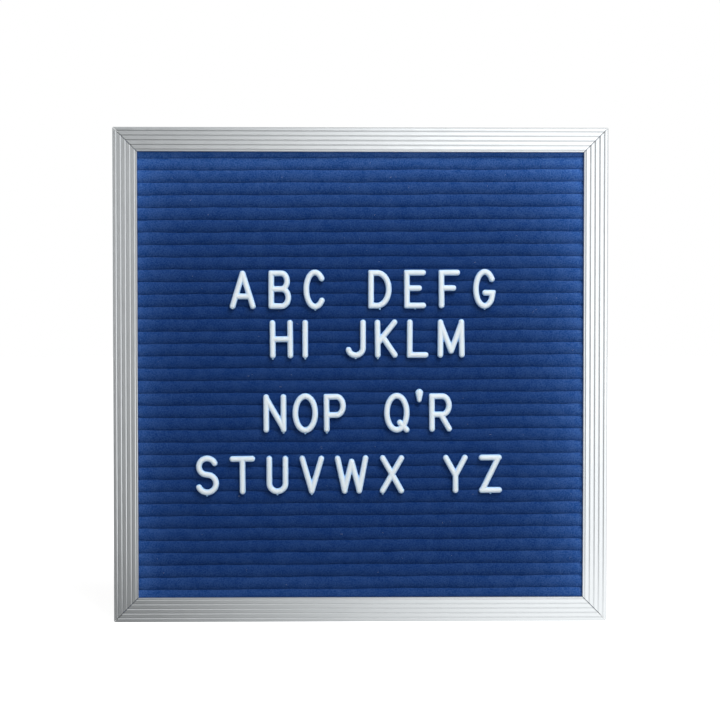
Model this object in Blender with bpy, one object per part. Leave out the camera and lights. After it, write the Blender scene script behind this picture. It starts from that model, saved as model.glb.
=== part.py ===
"""Square felt letter board: an aluminium frame, a grooved felt panel and loose plastic letters.

The board stands upright on its bottom rail. +X is to the viewer's right, +Z is up, and the front
faces -Y. The origin is at the middle of the underside. Depths are measured from the front plane
of the frame towards its back.
"""

import math
from types import SimpleNamespace

import bmesh
import bpy
from mathutils import Matrix

MM = 0.001

# The whole board
BOARD_WIDTH = 254 * MM
BOARD_HEIGHT = 254 * MM

# Clearances between pieces
SEAT_GAP = 0.3 * MM
MITRE_GAP = 0.3 * MM
PANEL_EDGE_GAP = 0.35 * MM

# Extruded frame rail, face first
FACE_WIDTH = 12.55 * MM
FACE_THICKNESS = 1.9 * MM
SIDE_WALL = 1.4 * MM
EDGE_RADIUS = 0.7 * MM
EDGE_STEPS = 3
LIP_CHAMFER = 0.3 * MM
FACE_GROOVES = 5
FACE_GROOVE_WIDTH = 0.9 * MM
FACE_GROOVE_DEPTH = 0.25 * MM
OUTER_LAND = 2.1 * MM
INNER_LAND = 0.95 * MM

# Channel along the back of the rail, which holds the corner plates
CHANNEL_WIDTH = 6.8 * MM
CHANNEL_HEIGHT = 2.5 * MM
CHANNEL_WALL = 1.2 * MM
CHANNEL_MOUTH = 3.6 * MM
WEB_THICKNESS = 1.0 * MM
BACK_LIP = 1.1 * MM

# Felt, pressed over the ribs and into the grooves of the core board
RIB_PITCH = 6.35 * MM
SLOT_WIDTH = 1.2 * MM
SLOT_DEPTH = 3.0 * MM
RIB_CROWN = 0.85 * MM
CROWN_POWER = 2.6
CROWN_STEPS = 6
FELT_THICKNESS = 0.8 * MM
CORE_FLOOR = 1.4 * MM
PANEL_TURN = math.radians(0.26)
PANEL_RISE = 0.8 * MM

# Hardboard backing and the bowed clips that press it forward
BACKING_THICKNESS = 2.0 * MM
CLIP_SPACE = 1.4 * MM
CLIP_THICKNESS = 0.4 * MM
CLIP_LENGTH = 55 * MM
CLIP_WIDTH = 11 * MM
CLIP_STEPS = 8

# Corner hardware
PLATE_LEG = 32 * MM
PLATE_THICKNESS = 1.1 * MM
SHIM_THICKNESS = 0.5 * MM
SET_SCREW_RADIUS = 1.4 * MM
SET_SCREW_LENGTH = 2.1 * MM
SET_SCREW_FROM_END = 9 * MM
SCREW_SLOT_WIDTH = 0.5 * MM
SCREW_SLOT_DEPTH = 0.6 * MM
SCREW_CHAMFER = 0.2 * MM
ROUND_STEPS = 16

# Sawtooth hanger on the backing
HANGER_LENGTH = 46 * MM
HANGER_HEIGHT = 8 * MM
HANGER_THICKNESS = 0.8 * MM
HANGER_FOOT = 8 * MM
HANGER_RAMP = 3 * MM
HANGER_STAND_OFF = 1.8 * MM
HANGER_BELOW_CLIP = 4 * MM
TOOTH_PITCH = 2.6 * MM
TOOTH_DEPTH = 1.6 * MM
HANGER_TEETH = 9
PAN_HEAD_RADIUS = 2.3 * MM
PAN_HEAD_HEIGHT = 1.0 * MM
PAN_TOP_SHARE = 0.7
PAN_SHANK_RADIUS = 1.0 * MM

# Letters: round-topped strokes with flat backs, and thin tabs that go into the grooves
CAP_HEIGHT = 19.8 * MM
STROKE_WIDTH = 3.0 * MM
LETTER_THICKNESS = 1.8 * MM
LETTER_SIDE = 0.6 * MM
TOP_SHARE = 0.5
OVERSHOOT = 0.35 * MM
FOOT_BELOW_GROOVE = 1.5 * MM
ARC_STEP = math.radians(24)
END_STEPS = 5
PATH_STEP = 0.3 * MM
TUCK = 0.6 * MM
TAB_WIDTH = 2.4 * MM
TAB_ROOT = 0.4 * MM
TAB_TIP_GAP = 0.6 * MM
TAB_SIDE_GAP = 0.3 * MM
TAB_ROWS = (0, 2)
APOSTROPHE_ROW = 3
GATE_NUB_LENGTH = 0.5 * MM
GATE_NUB_RADIUS = 0.42 * MM
GATE_NUB_TIP = 0.25 * MM
LETTER_TILT = math.radians(0.45)
TILT_STEP = 2.4
APOSTROPHE_RISE = 2.3 * MM
APOSTROPHE_HEIGHT = 6.9 * MM
APOSTROPHE_HEAD = 2.05 * MM
APOSTROPHE_FOOT = 1.25 * MM

# Overall width of each letter, in millimetres
LETTER_WIDTHS = {
    "a": 13.4, "b": 11.7, "c": 12.0, "d": 12.1, "e": 11.4, "f": 11.2, "g": 12.0,
    "h": 12.0, "i": 3.0, "j": 10.6, "k": 11.8, "l": 11.2, "m": 14.1, "n": 11.9,
    "o": 13.2, "p": 11.5, "q": 13.2, "r": 11.8, "s": 12.2, "t": 13.2, "u": 11.3,
    "v": 12.8, "w": 17.4, "x": 12.6, "y": 12.8, "z": 12.0, "'": 4.1,
}

# Each line: its letters, the groove under it counted from the top of the panel, the place of its
# left end, the gap between letters and the gap between words
LINES = (
    ("abc defg", 14, -67.2 * MM, 6.4 * MM, 21.1 * MM),
    ("hi jklm", 18, -46.7 * MM, 4.6 * MM, 19.1 * MM),
    ("nop q'r", 24, -50.3 * MM, 3.0 * MM, 19.4 * MM),
    ("stuvwx yz", 29, -85.5 * MM, 5.6 * MM, 20.1 * MM),
)

# Depths of the faces, from the front plane of the frame
FELT_CREST = FACE_THICKNESS + SEAT_GAP
LETTER_BACK = FELT_CREST - SEAT_GAP
FELT_SLOT_FLOOR = FELT_CREST + SLOT_DEPTH
CORE_SLOT_FLOOR = FELT_SLOT_FLOOR + FELT_THICKNESS + SEAT_GAP
CORE_BACK = CORE_SLOT_FLOOR + CORE_FLOOR
BACKING_FRONT = CORE_BACK + SEAT_GAP
BACKING_BACK = BACKING_FRONT + BACKING_THICKNESS
WEB_FRONT = BACKING_BACK + CLIP_SPACE
WEB_BACK = WEB_FRONT + WEB_THICKNESS
LIP_FRONT = WEB_BACK + CHANNEL_HEIGHT
FRAME_DEPTH = LIP_FRONT + BACK_LIP

# Distances inward from the outer edge of a rail
CHANNEL_INNER = SIDE_WALL + CHANNEL_WIDTH
CHANNEL_OUTSIDE = CHANNEL_INNER + CHANNEL_WALL
CHANNEL_MIDDLE = SIDE_WALL + CHANNEL_WIDTH / 2

CENTRE_HEIGHT = BOARD_HEIGHT / 2
HALF_STROKE = STROKE_WIDTH / 2


def clear_scene():
    for old in list(bpy.data.objects):
        bpy.data.objects.remove(old, do_unlink=True)


def finish(name, colour, roughness, metallic):
    material = bpy.data.materials.new(name)
    material.use_nodes = True
    shader = material.node_tree.nodes["Principled BSDF"]
    shader.inputs["Base Color"].default_value = (*colour, 1)
    shader.inputs["Roughness"].default_value = roughness
    shader.inputs["Metallic"].default_value = metallic
    return material


def at_depth(depth):
    """The Y of a plane that lies this deep behind the front plane of the frame."""
    return depth - FRAME_DEPTH / 2


def turned_frame(x, z, angle):
    """The place of a piece turned about +Y by angle, at (x, 0, z)."""
    return Matrix.Translation((x, 0, z)) @ Matrix.Rotation(angle, 4, "Y")


def add_piece(name, mesh, material, place=None, parent=None):
    mesh.name = name
    mesh.materials.clear()
    mesh.materials.append(material)
    piece = bpy.data.objects.new(name, mesh)
    bpy.context.scene.collection.objects.link(piece)
    piece.parent = parent
    piece.matrix_basis = place or Matrix.Identity(4)
    return piece


def add_frame(name, place):
    """An empty that carries the pieces of one sub-assembly."""
    empty = bpy.data.objects.new(name, None)
    bpy.context.scene.collection.objects.link(empty)
    empty.matrix_basis = place
    return empty


def mesh_of(points, faces):
    """A closed mesh with its faces pointing out."""
    mesh = bpy.data.meshes.new("shape")
    mesh.from_pydata(points, [], faces)
    shape = bmesh.new()
    shape.from_mesh(mesh)
    bmesh.ops.recalc_face_normals(shape, faces=shape.faces)
    shape.to_mesh(mesh)
    shape.free()
    return mesh


def loft(rings, closed=False):
    """Joins rings of equally many points. The ends are capped unless the rings close on themselves."""
    size = len(rings[0])
    points = [point for ring in rings for point in ring]
    faces = []
    steps = len(rings) if closed else len(rings) - 1
    for step in range(steps):
        here = step * size
        there = (step + 1) % len(rings) * size
        for k in range(size):
            after = (k + 1) % size
            faces.append((here + k, here + after, there + after, there + k))
    if not closed:
        faces.append(tuple(range(size)))
        faces.append(tuple(range(len(points) - size, len(points))))
    return mesh_of(points, faces)


def box(low, high):
    (x0, y0, z0), (x1, y1, z1) = low, high
    return loft(
        [
            [(x, y0, z0), (x, y1, z0), (x, y1, z1), (x, y0, z1)]
            for x in (x0, x1)
        ]
    )


def turned(profile, x=0, z=0):
    """A round piece on an axis along Y through (x, z), from (radius, y) pairs, first to last."""
    rings = []
    for radius, y in profile:
        ring = []
        for k in range(ROUND_STEPS):
            angle = 2 * math.pi * k / ROUND_STEPS
            ring.append((x + radius * math.cos(angle), y, z + radius * math.sin(angle)))
        rings.append(ring)
    return loft(rings)


def combined(base, others, operation):
    """Joins the other meshes to the base mesh, or cuts them from it."""
    helpers = []
    for mesh in (base, *others):
        helper = bpy.data.objects.new("helper", mesh)
        bpy.context.scene.collection.objects.link(helper)
        helpers.append(helper)
    for helper in helpers[1:]:
        step = helpers[0].modifiers.new("step", "BOOLEAN")
        step.operation = operation
        step.solver = "EXACT"
        step.object = helper
    bpy.context.view_layer.update()
    graph = bpy.context.evaluated_depsgraph_get()
    result = bpy.data.meshes.new_from_object(helpers[0].evaluated_get(graph))
    for helper in helpers:
        bpy.data.objects.remove(helper, do_unlink=True)
    return result


def joined(meshes):
    return combined(meshes[0], meshes[1:], "UNION")


def cut(base, cutters):
    return combined(base, cutters, "DIFFERENCE")


# Frame rails


def face_groove_places():
    """Distances of the face grooves from the outer edge, evenly spaced between the two lands."""
    pitch = (FACE_WIDTH - OUTER_LAND - INNER_LAND) / (FACE_GROOVES - 1)
    return [OUTER_LAND + k * pitch for k in range(FACE_GROOVES)]


def rail_outline():
    """The section of a rail as (distance inward, depth) points."""
    outline = []
    for k in range(EDGE_STEPS + 1):
        angle = math.pi / 2 * k / EDGE_STEPS
        outline.append((EDGE_RADIUS * (1 - math.cos(angle)), EDGE_RADIUS * (1 - math.sin(angle))))
    for place in face_groove_places():
        outline.append((place - FACE_GROOVE_WIDTH / 2, 0))
        outline.append((place, FACE_GROOVE_DEPTH))
        outline.append((place + FACE_GROOVE_WIDTH / 2, 0))
    outline += [
        (FACE_WIDTH - LIP_CHAMFER, 0),
        (FACE_WIDTH, LIP_CHAMFER),
        (FACE_WIDTH, FACE_THICKNESS),
        (SIDE_WALL, FACE_THICKNESS),
        (SIDE_WALL, WEB_FRONT),
        (CHANNEL_OUTSIDE, WEB_FRONT),
        (CHANNEL_OUTSIDE, FRAME_DEPTH),
        (CHANNEL_MIDDLE + CHANNEL_MOUTH / 2, FRAME_DEPTH),
        (CHANNEL_MIDDLE + CHANNEL_MOUTH / 2, LIP_FRONT),
        (CHANNEL_INNER, LIP_FRONT),
        (CHANNEL_INNER, WEB_BACK),
        (SIDE_WALL, WEB_BACK),
        (SIDE_WALL, LIP_FRONT),
        (CHANNEL_MIDDLE - CHANNEL_MOUTH / 2, LIP_FRONT),
        (CHANNEL_MIDDLE - CHANNEL_MOUTH / 2, FRAME_DEPTH),
        (0, FRAME_DEPTH),
    ]
    return outline


def rail_mesh(length):
    """A rail along X with mitred ends, its outer edge at Z = 0 and the board above it."""
    mitre_offset = MITRE_GAP / 2 * math.sqrt(2)
    rings = []
    for side in (-1, 1):
        rings.append(
            [
                (side * (length / 2 - inward - mitre_offset), at_depth(depth), inward)
                for inward, depth in rail_outline()
            ]
        )
    return loft(rings)


def side_places():
    """For each side of the board: its name, its length and the frame of its outer edge."""
    half = BOARD_WIDTH / 2
    quarter = math.pi / 2
    return (
        ("bottom", BOARD_WIDTH, turned_frame(0, 0, 0)),
        ("right", BOARD_HEIGHT, turned_frame(half, CENTRE_HEIGHT, -quarter)),
        ("top", BOARD_WIDTH, turned_frame(0, BOARD_HEIGHT, 2 * quarter)),
        ("left", BOARD_HEIGHT, turned_frame(-half, CENTRE_HEIGHT, quarter)),
    )


def corner_places():
    """For each corner of the board: its name and its frame, with legs along local X and Z."""
    half = BOARD_WIDTH / 2
    quarter = math.pi / 2
    return (
        ("bottom_left", turned_frame(-half, 0, 0)),
        ("bottom_right", turned_frame(half, 0, -quarter)),
        ("top_right", turned_frame(half, BOARD_HEIGHT, 2 * quarter)),
        ("top_left", turned_frame(-half, BOARD_HEIGHT, quarter)),
    )


def add_rails(material):
    for name, length, place in side_places():
        add_piece(f"rail_{name}", rail_mesh(length), material, place)


# Corner hardware, which sits in the channels


def angle_plate(front, thickness):
    """An L-shaped plate that fills the channel of the two rails at a corner."""
    near = SIDE_WALL + SEAT_GAP
    far = CHANNEL_INNER - SEAT_GAP
    end = near + PLATE_LEG
    outline = ((near, near), (end, near), (end, far), (far, far), (far, end), (near, end))
    return loft(
        [
            [(x, at_depth(depth), z) for x, z in outline]
            for depth in (front, front + thickness)
        ]
    )


def set_screw_spots():
    """Where the set screws stand, in the frame of a corner."""
    along = SIDE_WALL + SEAT_GAP + PLATE_LEG - SET_SCREW_FROM_END
    return {"a": (along, CHANNEL_MIDDLE), "b": (CHANNEL_MIDDLE, along)}


def slot_cutter(radius, head, x, z):
    """The bar that cuts a screwdriver slot into a head that ends at this depth."""
    reach = radius + SEAT_GAP
    return box(
        (x - reach, at_depth(head - SCREW_SLOT_DEPTH), z - SCREW_SLOT_WIDTH / 2),
        (x + reach, at_depth(head) + SEAT_GAP, z + SCREW_SLOT_WIDTH / 2),
    )


def set_screw_mesh(tip, x, z):
    head = tip + SET_SCREW_LENGTH
    profile = (
        (SET_SCREW_RADIUS - SCREW_CHAMFER, at_depth(tip)),
        (SET_SCREW_RADIUS, at_depth(tip + SCREW_CHAMFER)),
        (SET_SCREW_RADIUS, at_depth(head)),
    )
    return cut(turned(profile, x, z), [slot_cutter(SET_SCREW_RADIUS, head, x, z)])


def add_corner_hardware(material):
    shim_front = WEB_BACK + SEAT_GAP
    plate_front = shim_front + SHIM_THICKNESS + SEAT_GAP
    hole_radius = SET_SCREW_RADIUS + SEAT_GAP
    hole_ends = (at_depth(plate_front) - SEAT_GAP, at_depth(LIP_FRONT))
    for name, place in corner_places():
        shim = angle_plate(shim_front, SHIM_THICKNESS)
        holes = [
            turned([(hole_radius, y) for y in hole_ends], x, z)
            for x, z in set_screw_spots().values()
        ]
        plate = cut(angle_plate(plate_front, PLATE_THICKNESS), holes)
        add_piece(f"corner_shim_{name}", shim, material, place)
        add_piece(f"corner_plate_{name}", plate, material, place)
        for leg, (x, z) in set_screw_spots().items():
            screw = set_screw_mesh(plate_front, x, z)
            add_piece(f"corner_screw_{name}_{leg}", screw, material, place)


# Felt panel


def panel_size():
    """The width of the panel and its number of ribs, as large as the turned panel can be."""
    spread = math.cos(PANEL_TURN) + math.sin(abs(PANEL_TURN))
    room_across = BOARD_WIDTH / 2 - SIDE_WALL - PANEL_EDGE_GAP
    room_up = BOARD_HEIGHT / 2 - SIDE_WALL - PANEL_EDGE_GAP - abs(PANEL_RISE)
    width = 2 * room_across / spread
    ribs = math.floor(2 * room_up / spread / RIB_PITCH)
    return width, ribs


def rib_centres():
    _, ribs = panel_size()
    return [(k - (ribs - 1) / 2) * RIB_PITCH for k in range(ribs)]


def groove_height(number):
    """The local height of a groove, counted from 1 at the top of the panel."""
    _, ribs = panel_size()
    return (ribs / 2 - number) * RIB_PITCH


def crown(share):
    """How far the rib has dropped from its crest, at this share of its half width."""
    return RIB_CROWN * (1 - (1 - abs(share) ** CROWN_POWER) ** (1 / CROWN_POWER))


def crown_shares():
    """Places across a rib, closer together towards its edges."""
    return [math.sin(math.pi * (k / CROWN_STEPS - 0.5)) for k in range(CROWN_STEPS + 1)]


def felt_front():
    """The front line of the felt from bottom to top, as (height, depth) points."""
    half_rib = (RIB_PITCH - SLOT_WIDTH) / 2
    line = []
    for centre in rib_centres():
        line.append((centre - half_rib, FELT_SLOT_FLOOR))
        for share in crown_shares():
            line.append((centre + share * half_rib, FELT_CREST + crown(share)))
        line.append((centre + half_rib, FELT_SLOT_FLOOR))
    end = rib_centres()[-1] + RIB_PITCH / 2
    return [(-end, FELT_SLOT_FLOOR), *line, (end, FELT_SLOT_FLOOR)]


def ribbed_line(half_rib, crest, floor):
    """A plain ribbed line from bottom to top, with square ribs."""
    line = []
    for centre in rib_centres():
        line.append((centre - half_rib, floor))
        line.append((centre - half_rib, crest))
        line.append((centre + half_rib, crest))
        line.append((centre + half_rib, floor))
    end = rib_centres()[-1] + RIB_PITCH / 2
    return [(-end, floor), *line, (end, floor)]


def swept_panel(outline):
    """A panel piece that runs the width of the panel with this (height, depth) outline."""
    width, _ = panel_size()
    rings = [
        [(x, at_depth(depth), height) for height, depth in outline]
        for x in (-width / 2, width / 2)
    ]
    return loft(rings)


def felt_mesh():
    half_rib = (RIB_PITCH - SLOT_WIDTH) / 2 - FELT_THICKNESS
    back = ribbed_line(half_rib, FELT_CREST + FELT_THICKNESS, FELT_SLOT_FLOOR + FELT_THICKNESS)
    return swept_panel(felt_front() + back[::-1])


def core_mesh():
    half_rib = (RIB_PITCH - SLOT_WIDTH) / 2 - FELT_THICKNESS - SEAT_GAP
    front = ribbed_line(half_rib, FELT_CREST + FELT_THICKNESS + SEAT_GAP, CORE_SLOT_FLOOR)
    end = front[-1][0]
    return swept_panel([*front, (end, CORE_BACK), (-end, CORE_BACK)])


# Backing, clips and hanger


def backing_mesh():
    half_width = BOARD_WIDTH / 2 - SIDE_WALL - PANEL_EDGE_GAP
    half_height = BOARD_HEIGHT / 2 - SIDE_WALL - PANEL_EDGE_GAP
    sheet = box(
        (-half_width, at_depth(BACKING_FRONT), CENTRE_HEIGHT - half_height),
        (half_width, at_depth(BACKING_BACK), CENTRE_HEIGHT + half_height),
    )
    ends = (at_depth(BACKING_FRONT) - SEAT_GAP, at_depth(BACKING_BACK) + SEAT_GAP)
    holes = [
        turned([(PAN_SHANK_RADIUS + SEAT_GAP, y) for y in ends], x, hanger_height())
        for x in hanger_screw_places()
    ]
    return cut(sheet, holes)


def clip_mesh():
    """A bowed strip along X: its middle bears on the backing and its ends on the web of the rail."""
    near = SIDE_WALL + 2 * SEAT_GAP
    bow = CLIP_SPACE - CLIP_THICKNESS - 2 * SEAT_GAP
    rings = []
    for k in range(CLIP_STEPS + 1):
        share = 2 * k / CLIP_STEPS - 1
        front = BACKING_BACK + SEAT_GAP + bow * share**2
        back = front + CLIP_THICKNESS
        x = share * CLIP_LENGTH / 2
        rings.append(
            [
                (x, at_depth(front), near),
                (x, at_depth(back), near),
                (x, at_depth(back), near + CLIP_WIDTH),
                (x, at_depth(front), near + CLIP_WIDTH),
            ]
        )
    return loft(rings)


def hanger_height():
    """The height of the middle of the hanger, below the clip of the top rail."""
    clip_end = SIDE_WALL + 2 * SEAT_GAP + CLIP_WIDTH
    return BOARD_HEIGHT - clip_end - HANGER_BELOW_CLIP - HANGER_HEIGHT / 2


def hanger_screw_places():
    reach = HANGER_LENGTH / 2 - HANGER_FOOT / 2
    return (-reach, reach)


def hanger_mesh():
    """A strip whose middle stands off the backing, with teeth along its lower edge."""
    low = BACKING_BACK + SEAT_GAP
    high = low + HANGER_STAND_OFF
    end = HANGER_LENGTH / 2
    foot = end - HANGER_FOOT
    raised = foot - HANGER_RAMP
    stations = (
        (-end, low), (-foot, low), (-raised, high), (raised, high), (foot, low), (end, low),
    )
    z0 = hanger_height() - HANGER_HEIGHT / 2
    z1 = z0 + HANGER_HEIGHT
    rings = []
    for x, front in stations:
        back = front + HANGER_THICKNESS
        rings.append(
            [(x, at_depth(front), z0), (x, at_depth(back), z0),
             (x, at_depth(back), z1), (x, at_depth(front), z1)]
        )
    cutters = [tooth_cutter(z0, low, high)]
    ends = (at_depth(low) - SEAT_GAP, at_depth(low + HANGER_THICKNESS) + SEAT_GAP)
    for x in hanger_screw_places():
        hole = [(PAN_SHANK_RADIUS + SEAT_GAP, y) for y in ends]
        cutters.append(turned(hole, x, hanger_height()))
    return cut(loft(rings), cutters)


def tooth_cutter(edge, low, high):
    """A saw of notches along the lower edge of the hanger, joined below that edge."""
    start = -TOOTH_PITCH * HANGER_TEETH / 2
    outline = [(start, edge - TOOTH_DEPTH)]
    for k in range(HANGER_TEETH):
        outline.append((start + k * TOOTH_PITCH, edge - SEAT_GAP))
        outline.append((start + (k + 0.5) * TOOTH_PITCH, edge + TOOTH_DEPTH))
    end = start + HANGER_TEETH * TOOTH_PITCH
    outline += [(end, edge - SEAT_GAP), (end, edge - TOOTH_DEPTH)]
    return loft(
        [
            [(x, at_depth(depth), z) for x, z in outline]
            for depth in (low, high + 2 * HANGER_THICKNESS)
        ]
    )


def pan_screw_mesh(x):
    seat = BACKING_BACK + SEAT_GAP + HANGER_THICKNESS + SEAT_GAP
    head = seat + PAN_HEAD_HEIGHT
    tip = BACKING_FRONT + SEAT_GAP
    profile = (
        (PAN_SHANK_RADIUS / 2, at_depth(tip)),
        (PAN_SHANK_RADIUS, at_depth(tip + PAN_SHANK_RADIUS / 2)),
        (PAN_SHANK_RADIUS, at_depth(seat)),
        (PAN_HEAD_RADIUS, at_depth(seat)),
        (PAN_HEAD_RADIUS, at_depth(head - PAN_HEAD_HEIGHT / 2)),
        (PAN_HEAD_RADIUS * PAN_TOP_SHARE, at_depth(head)),
    )
    slot = slot_cutter(PAN_HEAD_RADIUS, head, x, hanger_height())
    return cut(turned(profile, x, hanger_height()), [slot])


def add_back(hardboard, steel, spring_steel):
    add_piece("backing_board", backing_mesh(), hardboard)
    for name, _, place in side_places():
        add_piece(f"spring_clip_{name}", clip_mesh(), spring_steel, place)
    add_piece("sawtooth_hanger", hanger_mesh(), steel)
    for name, x in zip(("left", "right"), hanger_screw_places()):
        add_piece(f"hanger_screw_{name}", pan_screw_mesh(x), steel)


# Strokes of a letter, in the letter's own plane: x to the right, z up, its foot at z = 0


def arc(x, z, reach_x, reach_z, start, end):
    """Points along an ellipse, from start to end in degrees, counted from +x towards +z."""
    steps = max(2, math.ceil(abs(math.radians(end - start)) / ARC_STEP))
    points = []
    for k in range(steps + 1):
        angle = math.radians(start + (end - start) * k / steps)
        points.append((x + reach_x * math.cos(angle), z + reach_z * math.sin(angle)))
    return points


def between(start, end, share):
    return tuple(a + (b - a) * share for a, b in zip(start, end))


def tucked(start, end):
    """A straight stroke whose end stops a little short, inside the stroke that it runs into."""
    length = math.dist(start, end)
    return [start, between(start, end, 1 - TUCK / length)]


def side_offsets(path, closed):
    """For each point of a path, the offset of its left side at distance 1, mitred at corners."""
    offsets = []
    last = len(path) - 1
    for k, here in enumerate(path):
        before = path[k - 1] if closed or k else None
        after = path[(k + 1) % len(path)] if closed or k < last else None
        normals = []
        for a, b in ((before, here), (here, after)):
            if a and b:
                length = math.dist(a, b)
                normals.append(((a[1] - b[1]) / length, (b[0] - a[0]) / length))
        nx = sum(n[0] for n in normals)
        nz = sum(n[1] for n in normals)
        size = math.hypot(nx, nz)
        stretch = len(normals) / size / size
        offsets.append((nx * stretch, nz * stretch))
    return offsets


def stroke_section():
    """(share of the half width, height above the flat back), from the back to the top."""
    return ((1, 0), (1, LETTER_SIDE), (TOP_SHARE, LETTER_THICKNESS))


def end_fan(centre, offset, radius):
    """Points round a stroke's end, from its left side to its right side, without those two."""
    start = math.atan2(offset[1], offset[0])
    points = []
    for k in range(1, END_STEPS):
        angle = start - math.pi * k / END_STEPS
        points.append((centre[0] + radius * math.cos(angle), centre[1] + radius * math.sin(angle)))
    return points


def open_stroke(path, half_widths=None):
    """A round-topped stroke with round ends along an open path."""
    half_widths = half_widths or [HALF_STROKE] * len(path)
    sides = side_offsets(path, closed=False)
    rings = []
    for share, height in stroke_section():
        left = []
        right = []
        for (x, z), (nx, nz), half in zip(path, sides, half_widths):
            left.append((x + nx * half * share, z + nz * half * share))
            right.append((x - nx * half * share, z - nz * half * share))
        far = end_fan(path[-1], sides[-1], half_widths[-1] * share)
        near = end_fan(path[0], (-sides[0][0], -sides[0][1]), half_widths[0] * share)
        rings.append([(x, -height, z) for x, z in left + far + right[::-1] + near])
    return loft(rings)


def closed_stroke(path):
    """A round-topped stroke along a path that closes on itself."""
    section = stroke_section()
    across = [(-share, height) for share, height in section]
    across += [(share, height) for share, height in section[::-1]]
    rings = []
    for (x, z), (nx, nz) in zip(path, side_offsets(path, closed=True)):
        rings.append(
            [
                (x + nx * share * HALF_STROKE, -height, z + nz * share * HALF_STROKE)
                for share, height in across
            ]
        )
    return loft(rings, closed=True)


# Shapes of the letters. Each function takes the letter's cell, which gives the limits of the
# strokes' middle lines, and returns its open paths and its closed paths. The plain numbers are
# shares of the cell, and degrees along the rounds.


def letter_cell(width):
    foot = HALF_STROKE
    head = CAP_HEIGHT - HALF_STROKE
    right = width / 2 - HALF_STROKE
    return SimpleNamespace(
        left=-right,
        right=right,
        foot=foot,
        head=head,
        middle=(foot + head) / 2,
        rise=head - foot,
        round_rise=(head - foot) / 2 + OVERSHOOT,
    )


def letter_a(c):
    bar = c.foot + 0.3 * c.rise
    reach = 0.7 * c.right - TUCK
    legs = [[(c.left, c.foot), (0, c.head)], tucked((c.right, c.foot), (0, c.head))]
    return [*legs, [(-reach, bar), (reach, bar)]], []


def bowl(x, low, high, reach):
    """The right-hand round of a B, P or R, from its top to its bottom."""
    return arc(x, (low + high) / 2, reach - x, (high - low) / 2, 90, -90)


def stem_and_bowl(c, waist, reach):
    """A stem with a square corner at its head, and the bowl that hangs on it down to the waist."""
    start = 0.2 * c.right
    stem = [(c.left, c.foot), (c.left, c.head), (start, c.head)]
    turn = bowl(start, waist, c.head, reach)
    return [stem, [(start - TUCK, c.head), *turn, (c.left + TUCK, waist)]]


def letter_b(c):
    waist = c.middle + 0.02 * c.rise
    lower = bowl(0.25 * c.right, c.foot, waist, c.right)
    upper = stem_and_bowl(c, waist, 0.86 * c.right)
    return [*upper, [*lower, (c.left + TUCK, c.foot)]], []


def letter_c(c):
    return [arc(0, c.middle, c.right, c.round_rise, 40, 320)], []


def letter_d(c):
    turn = bowl(c.left * 0.3, c.foot, c.head, c.right)
    return [], [[(c.left, c.foot), (c.left, c.head), *turn]]


def letter_e(c):
    bar = c.middle + 0.03 * c.rise
    spine = [(c.right, c.head), (c.left, c.head), (c.left, c.foot), (c.right, c.foot)]
    return [spine, [(c.left + TUCK, bar), (c.right * 0.5, bar)]], []


def letter_f(c):
    bar = c.middle + 0.03 * c.rise
    spine = [(c.right, c.head), (c.left, c.head), (c.left, c.foot)]
    return [spine, [(c.left + TUCK, bar), (c.right * 0.5, bar)]], []


def letter_g(c):
    bar = c.middle - 0.12 * c.rise
    turn = arc(0, c.middle, c.right, c.round_rise, 35, 322)
    return [[*turn, (c.right * 0.92, bar), (c.right * 0.05, bar)]], []


def letter_h(c):
    legs = [[(x, c.foot), (x, c.head)] for x in (c.left, c.right)]
    return [*legs, [(c.left + TUCK, c.middle), (c.right - TUCK, c.middle)]], []


def letter_i(c):
    return [[(0, c.foot), (0, c.head)]], []


def letter_j(c):
    turn = arc(0, c.foot + c.right, c.right, c.right, 0, -165)
    return [[(c.right, c.head), *turn]], []


def letter_k(c):
    joint = (c.left, c.foot + 0.36 * c.rise)
    arm = tucked((c.right, c.head), joint)
    leg = tucked((c.right, c.foot), between(joint, (c.right, c.head), 0.3))
    return [[(c.left, c.foot), (c.left, c.head)], arm, leg], []


def letter_l(c):
    return [[(c.left, c.head), (c.left, c.foot), (c.right, c.foot)]], []


def letter_m(c):
    valley = (0, c.foot + 0.12 * c.rise)
    legs = [[(x, c.foot), (x * 0.97, c.head)] for x in (c.left, c.right)]
    first = [(c.left * 0.97, c.head - TUCK), valley]
    return [*legs, first, tucked((c.right * 0.97, c.head - TUCK), valley)], []


def letter_n(c):
    legs = [[(x, c.foot), (x, c.head)] for x in (c.left, c.right)]
    return [*legs, [(c.left, c.head - TUCK), (c.right, c.foot + TUCK)]], []


def ring_path(c):
    """The oval of an O or a Q, without the last point, which is the first again."""
    return arc(0, c.middle, c.right, c.round_rise, 0, 360)[:-1]


def letter_o(c):
    return [], [ring_path(c)]


def letter_p(c):
    return stem_and_bowl(c, c.foot + 0.44 * c.rise, c.right), []


def letter_q(c):
    tail = [(c.right * 0.3, c.foot + 0.2 * c.rise), (c.right, c.foot - OVERSHOOT)]
    return [tail], [ring_path(c)]


def letter_r(c):
    waist = c.foot + 0.44 * c.rise
    leg = tucked((c.right, c.foot), (0.05 * c.right, waist))
    return [*stem_and_bowl(c, waist, c.right), leg], []


def letter_s(c):
    waist = c.middle + 0.02 * c.rise
    top = c.head + OVERSHOOT
    base = c.foot - OVERSHOOT
    upper = arc(0, (waist + top) / 2, c.right * 0.92, (top - waist) / 2, 25, 250)
    lower = arc(0, (waist + base) / 2, c.right, (waist - base) / 2, 70, -155)
    return [[*upper, *lower]], []


def letter_t(c):
    return [[(c.left, c.head), (c.right, c.head)], [(0, c.foot), (0, c.head - TUCK)]], []


def letter_u(c):
    turn = arc(0, c.foot + c.right, c.right, c.right, 180, 360)
    return [[(c.left, c.head), *turn, (c.right, c.head)]], []


def letter_v(c):
    return [[(c.left, c.head), (0, c.foot)], tucked((c.right, c.head), (0, c.foot))], []


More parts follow.
